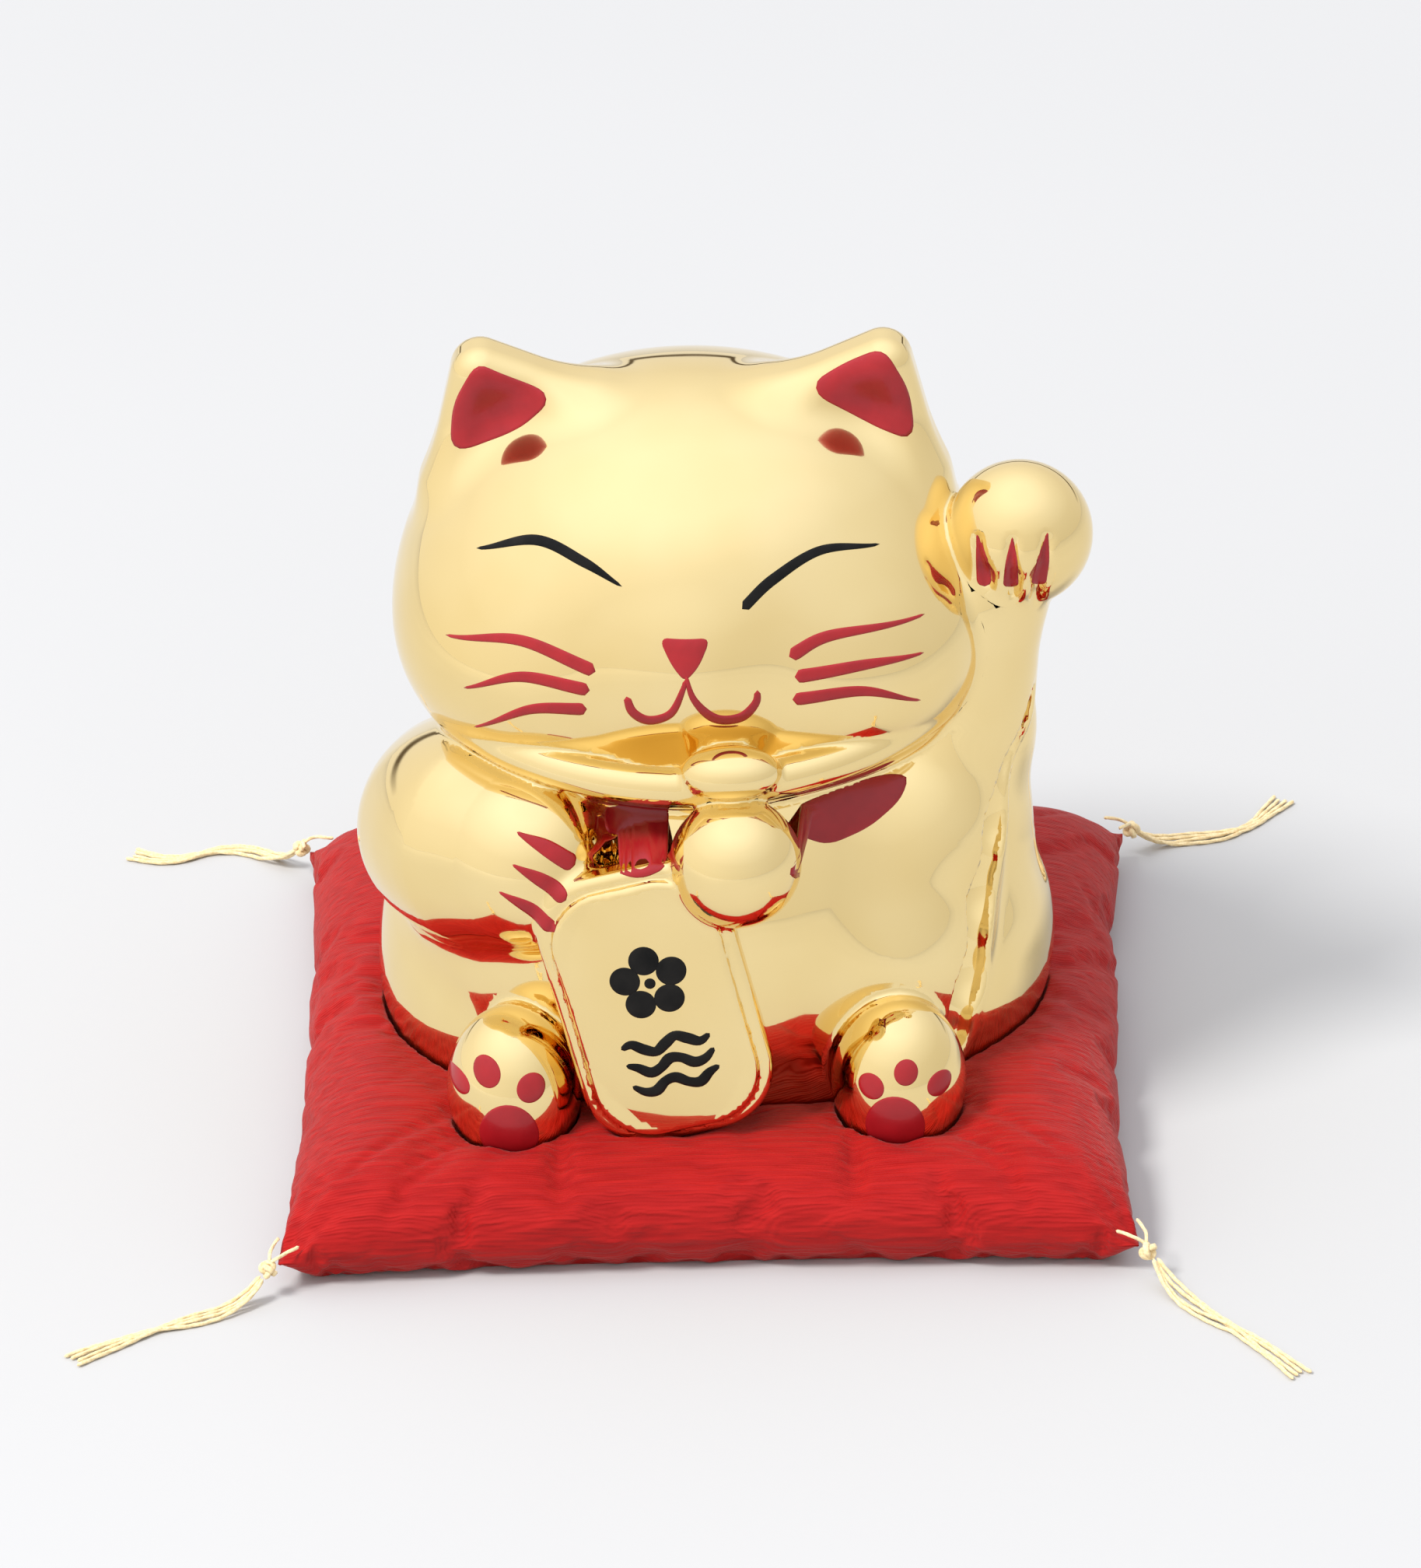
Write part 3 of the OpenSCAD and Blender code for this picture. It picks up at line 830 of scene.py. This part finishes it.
def add_tablet_mark():
    """A plain blossom over three waves, where the real tablet has its good-luck writing."""
    lean = math.radians(TABLET_TURN[1])
    across = np.array([math.cos(lean), -math.sin(lean)])
    up = np.array([math.sin(lean), math.cos(lean)])
    origin = TABLET_MID[[0, 2]] + across * 0.2

    def on_tablet(u, v):
        return tuple(origin + across * u + up * v)

    shapes = []
    flower, petal, reach = (0.4, 5.2), 2.5, 3.5
    for k in range(5):
        angle = math.pi / 2 + k * TURN / 5
        x, z = on_tablet(flower[0] + reach * math.cos(angle), flower[1] + reach * math.sin(angle))
        shapes.append(oval(x, z, petal * 0.86, petal * 0.86))
    shapes.append(oval(*on_tablet(*flower), 0.8, 0.8))
    for k in range(3):
        v = -4.4 - 3.2 * k
        wave = [on_tablet(u, v + 0.9 * math.sin(u * 0.95 + k)) for u in np.linspace(-6.2, 6.4, 9)]
        shapes.append(brush_stroke(wave, [0.35, 0.7, 0.85, 0.75, 0.85, 0.75, 0.85, 0.7, 0.35], 48))
    enamel("tablet_mark", shapes, BLACK_ENAMEL)


add_face()
add_ear_and_bib_panels()
add_claws()
add_foot_marks()
add_tablet_mark()

# ---------------- cushion

top_low, top_high = box_mm("cushion_top_panel")
HALF_W = top_high[0]
SEAM_Z = top_low[2]
CROWN_Z = top_high[2] + 0.9
PAD_CELLS = 64
PAD_CLEAR = 0.35
TOP_SHOULDER, SOLE_SHOULDER = 15, 6
DENT_RISE, DENT_REACH = 5.2, 3.6
BORDERS = (np.s_[0, :], np.s_[-1, :], np.s_[:, 0], np.s_[:, -1])


def rise_from_edge(distance, width):
    """Height share of a stuffed panel at a distance from its seam."""
    return np.sin(np.clip(distance / width, 0, 1) * math.pi / 2) ** 0.62


def seam_place(share_x, share_y):
    """Where the pad's grid lies in plan: the sides draw in a little between the corners."""
    pull = 1.0
    x = share_x * (HALF_W - pull * (1 - share_y ** 2) * share_x ** 2)
    y = share_y * (HALF_W - pull * (1 - share_x ** 2) * share_y ** 2)
    return x, y


def pad_grid(cells):
    """Top and bottom panel points of the pad before it is pressed, as grids."""
    share = np.sin(np.linspace(-1, 1, cells + 1) * math.pi / 2 * 0.86) / math.sin(math.pi / 2 * 0.86)
    share_x, share_y = np.meshgrid(share, share, indexing="ij")
    x, y = seam_place(share_x, share_y)
    inset = [np.maximum(HALF_W * (1 - np.abs(s)), 0) for s in (share_x, share_y)]
    top_share, sole_share = (rise_from_edge(inset[0], width) * rise_from_edge(inset[1], width)
                             for width in (TOP_SHOULDER, SOLE_SHOULDER))
    crown = SEAM_Z + (CROWN_Z - SEAM_Z) * top_share
    level = np.stack([x, y, np.full_like(x, SEAT_Z + 1.8)], axis=-1).reshape(-1, 3)
    gap = cat_distance(level).reshape(x.shape)
    dent = SEAT_Z - PAD_CLEAR + DENT_RISE * (1 - np.exp(-np.maximum(gap - 0.2, 0) / DENT_REACH))
    top = -blend(-crown, -dent, 0.8)
    top = np.minimum(crown, np.maximum(top, SEAT_Z - PAD_CLEAR))
    sole = SEAM_Z * (1 - sole_share)
    return np.stack([x, y, top], axis=-1), np.stack([x, y, sole], axis=-1), gap


def pad_faces(cells):
    """Quads over both panels, which share the points of the seam."""
    side = cells + 1
    row = np.arange(side * side).reshape(side, side)
    lower = row + side * side
    for edge in BORDERS:
        lower[edge] = row[edge]
    return np.concatenate([grid_quads(row), grid_quads(lower)[:, ::-1]])


def inflate(top, sole, gap):
    """Blows the stuffed pad up as cloth at a larger scale, held where it is pressed, and
    returns how far each panel point moved, in millimetres."""
    scale, cap = 8.0, 2.2
    side = top.shape[0]
    start = np.concatenate([top.reshape(-1, 3), sole.reshape(-1, 3)])
    points, faces, used = drop_unused(start, pad_faces(side - 1))
    mesh = bpy.data.meshes.new("pad_cloth")
    mesh.from_pydata((points * MM * scale).tolist(), [], faces.tolist())
    mesh.update()
    cloth_object = add_object("pad_cloth", mesh)
    pins = cloth_object.vertex_groups.new(name="held")
    pressed = np.concatenate([(gap < 1.2).reshape(-1), (sole[..., 2] < 0.3).reshape(-1)])[used]
    corner = (np.abs(points[:, 0]) > HALF_W - 2.5) & (np.abs(points[:, 1]) > HALF_W - 2.5)
    pins.add(np.where(pressed | corner)[0].tolist(), 1.0, "REPLACE")
    cloth = cloth_object.modifiers.new("cloth", "CLOTH")
    settings = cloth.settings
    settings.quality = 6
    settings.mass = 0.25
    settings.tension_stiffness = settings.compression_stiffness = 18
    settings.shear_stiffness = 6
    settings.bending_stiffness = 0.25
    settings.use_pressure = True
    settings.uniform_pressure_force = 5.0
    settings.vertex_group_mass = "held"
    settings.shrink_min = -0.035
    settings.effector_weights.gravity = 0.0
    cloth.collision_settings.use_collision = False
    scene = bpy.context.scene
    for number in range(1, 21):
        scene.frame_set(number)
    graph = bpy.context.evaluated_depsgraph_get()
    result = cloth_object.evaluated_get(graph).to_mesh()
    moved = np.empty(len(result.vertices) * 3)
    result.vertices.foreach_get("co", moved)
    moved = moved.reshape(-1, 3) / MM / scale - points
    scene.frame_set(1)
    bpy.data.objects.remove(cloth_object)
    size = np.linalg.norm(moved, axis=1)
    moved *= (cap * np.tanh(size / cap) / np.maximum(size, 1e-9))[:, None]
    shift = np.zeros_like(start)
    shift[used] = moved
    shift = shift.reshape(2, side, side, 3)
    for edge in BORDERS:
        shift[1][edge] = shift[0][edge]
    return shift[0], shift[1]


def finer(grid, times):
    """A grid of points with more rows and columns, on smooth curves through the old ones."""
    for axis in (0, 1):
        g = np.moveaxis(grid, axis, 0)
        count = len(g) - 1
        g = np.concatenate([2 * g[:1] - g[1:2], g, 2 * g[-1:] - g[-2:-1]])
        t = np.linspace(0, count, count * times + 1)
        i = np.minimum(t.astype(int), count - 1)
        g = spline(*(g[i + k] for k in range(4)), (t - i)[:, None, None])
        grid = np.moveaxis(g, 0, axis)
    return grid


def puckers(x, y):
    """Small gathers beside the seam and creases that run in from the corners, in millimetres."""
    to_side = HALF_W - np.abs(x)
    to_end = HALF_W - np.abs(y)
    rng = np.random.default_rng(7)
    gathers = np.zeros_like(x)
    for wave in (1.9, 2.7, 4.3):
        one, two = rng.uniform(0, 6.28, 2)
        gathers += np.sin(y * TURN / wave + one) * np.exp(-to_side / 2.2) * 0.07
        gathers += np.sin(x * TURN / (wave * 1.7) + two) * np.exp(-to_end / 2.4) * 0.05
    creases = np.zeros_like(x)
    for sx in (-1, 1):
        for sy in (-1, 1):
            u, v = HALF_W - sx * x, HALF_W - sy * y
            away = np.hypot(u, v)
            angle = np.arctan2(v, u)
            phase = rng.uniform(0, 6.28)
            creases += (np.sin(angle * 11 + phase) * 0.2 * np.exp(-((away - 7) / 5.5) ** 2)
                        * np.sin(np.clip(angle * 2, 0, math.pi)))
    broad = (np.sin(x / 9.5 + 1.3) * np.sin(y / 12 + 0.4) + 0.6 * np.sin(x / 5.3 + y / 8.1)) * 0.1
    fade = np.clip(np.minimum(to_side, to_end) / 10, 0, 1)
    return gathers + creases + broad * fade


def crepe_material():
    """Red crepe: crinkled ribs along X, a fine weave, a soft sheen, and painted shade in the rib valleys.
    """
    material, nodes, links, shader, place = new_material("cushion_crepe", {
        "Roughness": 0.55, "Specular IOR Level": 0.2, "Sheen Weight": 0.13,
        "Sheen Roughness": 0.35, "Sheen Tint": (1.0, 0.55, 0.5, 1)})
    stretch = nodes.new("ShaderNodeMapping")
    stretch.inputs["Scale"].default_value = (0.1, 1.0, 0.8)
    links.new(place, stretch.inputs["Vector"])
    rib = noise(nodes, links, stretch.outputs["Vector"], 1150, 1.5)
    mixed = nodes.new("ShaderNodeMix")
    mixed.inputs["Factor"].default_value = 0.25
    links.new(rib, mixed.inputs["A"])
    links.new(noise(nodes, links, place, 45, 2), mixed.inputs["B"])
    # Base colour is darker where the rib noise is low, in the valleys of the rib bump: painted shade in the
    # rib valleys, mixed with a coarse random tone.
    colour = ramp(nodes, links, mixed.outputs["Result"],
                  [(0.34, (0.30, 0.004, 0.004)), (0.62, (0.39, 0.008, 0.007))])
    links.new(colour, shader.inputs["Base Color"])
    weave = nodes.new("ShaderNodeTexWave")
    weave.inputs["Scale"].default_value = 900
    weave.inputs["Distortion"].default_value = 1.5
    weave.bands_direction = "Y"
    links.new(place, weave.inputs["Vector"])
    height = nodes.new("ShaderNodeMath")
    height.operation = "MULTIPLY_ADD"
    height.inputs[1].default_value = 0.12
    links.new(weave.outputs["Fac"], height.inputs[0])
    links.new(rib, height.inputs[2])
    add_bump(nodes, links, shader, height.outputs["Value"], 0.8, 0.0006)
    return material


def add_cushion():
    top, sole, gap = pad_grid(PAD_CELLS)
    shift_top, shift_sole = inflate(top, sole, gap)
    top, sole = top + shift_top, sole + shift_sole
    times = 3
    cells = PAD_CELLS * times
    top, sole = finer(top, times), finer(sole, times)
    top[..., 2] += puckers(top[..., 0], top[..., 1]) * np.clip((top[..., 2] - SEAM_Z) / 1.5, 0.25, 1)
    seam = np.zeros(top.shape[:2], bool)
    for edge in BORDERS:
        seam[edge] = True
    flat = top.reshape(-1, 3)
    for _ in range(3):
        close = np.where(flat[:, 2] > SEAT_Z - 2)[0]
        deep = np.clip(PAD_CLEAR - cat_distance(flat[close]), 0, 2)
        flat[close] += slope_of(flat[close]) * deep[:, None]
    top = flat.reshape(top.shape)
    sole[..., 2] = np.maximum(sole[..., 2], 0.02)
    sole[seam] = top[seam]
    sole[..., 2] = np.where(seam, sole[..., 2], np.minimum(sole[..., 2], top[..., 2] - 0.3))
    points = np.concatenate([top.reshape(-1, 3), sole.reshape(-1, 3)])
    points, faces, _ = drop_unused(points, pad_faces(cells))
    pad = make_mesh("cushion_cover", points, faces.tolist(), CREPE, "cushion")
    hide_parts("cushion_top_panel", "cushion_bottom_panel", "cushion_filling")


CREPE = crepe_material()
add_cushion()

# ---------------- corner knots and tassels

# Each tassel's route in millimetres, the same points as the CAD solid's: where they lie in
# plan, and how high all four routes are at those points
TASSEL_PLANS = {
    "front_right": [(-62.2, -62.2), (-64, -63.5), (-66.5, -65), (-69.5, -66.6), (-72.5, -68.2),
                    (-75.5, -69.8), (-78.5, -71.4), (-81.5, -73.2), (-84.5, -75.2), (-87.2, -77.3)],
    "back_right": [(-62.2, 62.2), (-64, 63.8), (-66, 66), (-68.4, 68), (-71.2, 69),
                   (-74.2, 68.6), (-77, 67.2), (-79.8, 66.2), (-82.8, 66.4), (-86, 67.9)],
    "front_left": [(62.2, -62.2), (63.4, -64), (65, -66.4), (67, -69.2), (69.2, -72),
                   (71.6, -74.8), (74, -77.8), (76.4, -81), (78.8, -84.4), (81, -87.8)],
    "back_left": [(62.2, 62.2), (64.2, 63.4), (66.6, 64.7), (69.4, 65.6), (72.4, 66),
                  (75.4, 66.6), (78, 68), (80, 70.4), (81.6, 73.3), (83.6, 76.4)]}
TASSEL_HEIGHTS = [3.6, 2.6, 1.7, 1.2, 1.1, 1.1, 1.1, 1.1, 1.1, 1.1]
STRAND_R = 0.27


def thread_material():
    """Cream cotton: soft and matte, its colour darker where the fibre bump sinks, which is painted shade in
    the hollows between fibres.
    """
    material, nodes, links, shader, place = new_material(
        "cream_thread", {"Roughness": 0.8, "Sheen Weight": 0.3})
    fibre = noise(nodes, links, place, 2600, 3)
    # The fibre noise that makes the bump also darkens the colour where the bump is low: painted shade in
    # the fibre hollows.
    colour = ramp(nodes, links, fibre, [(0.3, (0.72, 0.53, 0.25)), (0.7, (0.90, 0.75, 0.45))])
    links.new(colour, shader.inputs["Base Color"])
    add_bump(nodes, links, shader, fibre, 0.5, 0.0001)
    return material


def twisted_tube(path, radius, plies=3, pitch=2.6, sides=12):
    """A tube whose section has a lobe for each ply and turns along the path. The path is in
    millimetres; returns its points and faces."""
    count = len(path)
    heading = np.gradient(path, axis=0)
    heading /= np.linalg.norm(heading, axis=1)[:, None]
    side = np.cross(heading[0], (0.31, 0.2, 0.93))
    side /= np.linalg.norm(side)
    gone = arc_length(path)
    around = np.linspace(0, TURN, sides, endpoint=False)
    rings = []
    for i in range(count):
        side = side - heading[i] * (side @ heading[i])
        side /= np.linalg.norm(side)
        other = np.cross(heading[i], side)
        taper = min(1.0, 0.25 + min(gone[i], gone[-1] - gone[i]) / radius)
        twist = TURN * gone[i] / pitch / plies
        lobes = radius * taper * (1 + 0.16 * np.cos(plies * (around - twist)))
        rings.append(path[i] + np.cos(around)[:, None] * lobes[:, None] * side
                     + np.sin(around)[:, None] * lobes[:, None] * other)
    points = np.concatenate(rings)
    row = np.arange(count * sides).reshape(count, sides)
    faces = tube_quads(row)[:, [0, 3, 2, 1]].tolist()
    faces.append(row[0][::-1].tolist())
    faces.append(row[-1].tolist())
    return points, faces


def join_tubes(tubes):
    points, faces, count = [], [], 0
    for part_points, part_faces in tubes:
        points.append(part_points)
        faces += [[i + count for i in face] for face in part_faces]
        count += len(part_points)
    return np.concatenate(points), faces


def strands_along(route, seed):
    """Loose strands round a route, drawn together at the knot and at one pinch."""
    rng = np.random.default_rng(seed)
    line = np.array(route) / MM
    line = np.concatenate([line, [line[-1] + 0.35 * (line[-1] - line[-2])]])
    line = smooth_curve(line, 90)
    t = np.linspace(0, 1, len(line))
    heading = np.gradient(line, axis=0)
    flat = np.stack([-heading[:, 1], heading[:, 0], np.zeros(len(line))], axis=1)
    flat /= np.linalg.norm(flat, axis=1)[:, None]
    pinch = rng.uniform(0.5, 0.62)
    tubes = []
    for k in range(4):
        place = (k - 1.5) / 1.5
        fan = 1.0 * np.sin(math.pi * np.clip(t / pinch, 0, 1)) ** 0.8 * (t < pinch)
        fan = fan + 1.25 * (np.clip((t - pinch) / (1 - pinch), 0, 1) ** 0.8) * (t >= pinch)
        sway = 0.22 * np.sin(t * rng.uniform(7, 12) + rng.uniform(0, 6.28)) * np.sin(math.pi * t * 0.9)
        across = place * (0.32 + fan) + sway
        twist = 0.3 * np.cos(t * 9 + k * 1.7) * (1 - np.clip(t * 1.5, 0, 1))
        path = line + flat * across[:, None]
        settle_z = STRAND_R + 0.12 + 0.25 * (k % 2) * np.exp(-((t - pinch) / 0.12) ** 2)
        share = np.clip(t * 4.0, 0, 1)
        path[:, 2] = line[:, 2] * (1 - share) + settle_z * share + twist
        path[:, 2] = np.maximum(path[:, 2], STRAND_R * 1.16 + 0.02)
        keep = len(line) - k % 3
        tubes.append(twisted_tube(path[:keep], STRAND_R))
    return join_tubes(tubes)


def wound_knot(corner, seed):
    """A few turns of thread pulled tight round the cushion's corner, with its short ends."""
    centre = middle("corner_knot_" + corner)
    outward = np.array([np.sign(centre[0]), np.sign(centre[1]), 0]) / math.sqrt(2)
    sideways = np.array([-outward[1], outward[0], 0])
    up = np.array([0, 0, 1])
    t = np.linspace(0, TURN, 120)
    radius = 0.72 + 0.26 * np.cos(3 * t)
    core = (centre + (radius * np.cos(2 * t))[:, None] * sideways + (radius * np.sin(2 * t))[:, None] * up
            + (0.55 * np.sin(3 * t))[:, None] * outward)
    tubes = [twisted_tube(core, 0.42)]
    rng = np.random.default_rng(seed)
    for lean in (-1, 1):
        end = [centre - outward * 0.3 + up * 0.9,
               centre - outward * 1.6 + sideways * lean * 1.1 + up * 2.0,
               (centre - outward * rng.uniform(3.2, 4.6) + sideways * lean * rng.uniform(1.5, 2.6)
                + up * 2.4)]
        tubes.append(twisted_tube(smooth_curve(end, 24), 0.24))
    points, faces = join_tubes(tubes)
    points[:, 2] = np.maximum(points[:, 2], 0.1)
    knot = make_mesh(f"corner_knot_{corner}_wound", points, faces, THREAD, "cushion")
    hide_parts("corner_knot_" + corner)
    return knot


def add_tassels():
    for seed, (corner, plan) in enumerate(TASSEL_PLANS.items()):
        route = [(x * MM, y * MM, z * MM) for (x, y), z in zip(plan, TASSEL_HEIGHTS)]
        knot = wound_knot(corner, 40 + seed)
        points, faces = strands_along(route, 20 + seed)
        tassel = make_mesh(f"tassel_{corner}_threads", points, faces, THREAD, "cushion")
        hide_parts("tassel_" + corner)


THREAD = thread_material()
add_tassels()

# ---------------- floor, light and finish

TENT_LEFT, TENT_RIGHT = 1.3 * 1.15, 1.3 * 0.85


def add_floor():
    material, nodes, links, shader, place = new_material("floor", {"Roughness": 0.75})
    tone = ramp(nodes, links, noise(nodes, links, place, 3, 2),
                [(0.3, (0.485, 0.48, 0.47)), (0.7, (0.505, 0.50, 0.49))])
    links.new(tone, shader.inputs["Base Color"])
    mesh = bpy.data.meshes.new("floor")
    reach = 2.4
    mesh.from_pydata([(-reach, -reach, 0), (reach, -reach, 0), (reach, reach, 0), (-reach, reach, 0)],
                     [], [(0, 1, 2, 3)])
    mesh.materials.append(material)
    add_object("floor", mesh)


def mapped(nodes, links, value, lowest, highest, start, end):
    """A value moved from one range to another, and held at its ends."""
    node = nodes.new("ShaderNodeMapRange")
    limits = {"From Min": lowest, "From Max": highest, "To Min": start, "To Max": end}
    for name, limit in limits.items():
        node.inputs[name].default_value = limit
    links.new(value, node.inputs["Value"])
    return node.outputs["Result"]


def add_world():
    """A white tent: brighter overhead and to the left, with a thin dark gap low down behind."""
    world = bpy.data.worlds.new("studio")
    world.use_nodes = True
    nodes, links = world.node_tree.nodes, world.node_tree.links
    background = nodes["Background"]
    split = nodes.new("ShaderNodeSeparateXYZ")
    links.new(nodes.new("ShaderNodeTexCoord").outputs["Generated"], split.inputs["Vector"])
    across, back, up = (split.outputs[axis] for axis in "XYZ")
    tent = ramp(nodes, links, up, [(0.0, (0.70, 0.69, 0.67)), (0.35, (0.74, 0.735, 0.73)),
                                   (0.7, (0.86, 0.88, 0.93)), (0.95, (1.0, 1.04, 1.16))])
    gap = ramp(nodes, links, up, [(0.02, grey(0.0)), (0.045, grey(1.0)),
                                  (0.075, grey(1.0)), (0.10, grey(0.0))])
    share = nodes.new("ShaderNodeMath")
    share.operation = "MULTIPLY"
    links.new(gap, share.inputs[0])
    links.new(mapped(nodes, links, back, 0.66, 0.86, 0.0, 1.0), share.inputs[1])
    mixed = nodes.new("ShaderNodeMix")
    mixed.data_type = "RGBA"
    mixed.inputs["B"].default_value = (0.10, 0.08, 0.06, 1)
    links.new(share.outputs["Value"], mixed.inputs["Factor"])
    links.new(tent, mixed.inputs["A"])
    links.new(mixed.outputs["Result"], background.inputs["Color"])
    links.new(mapped(nodes, links, across, -1.0, 1.0, TENT_LEFT, TENT_RIGHT), background.inputs["Strength"])
    bpy.context.scene.world = world


def add_light(name, place, aim, size, power):
    data = bpy.data.lights.new(name, "AREA")
    data.shape = "DISK"
    data.size = size
    data.energy = power
    light = add_object(name, data)
    light.location = place
    light.rotation_euler = (Vector(aim) - Vector(place)).to_track_quat("-Z", "Y").to_euler()
    light.visible_glossy = False


add_floor()
add_world()
add_light("key", (-1.5, -1.0, 2.6), (0, 0, 0.03), 0.9, 89)
bpy.context.scene.view_settings.view_transform = "Standard"
bpy.context.scene.cycles.use_denoising = True
bpy.context.scene.cycles.glossy_bounces = 10
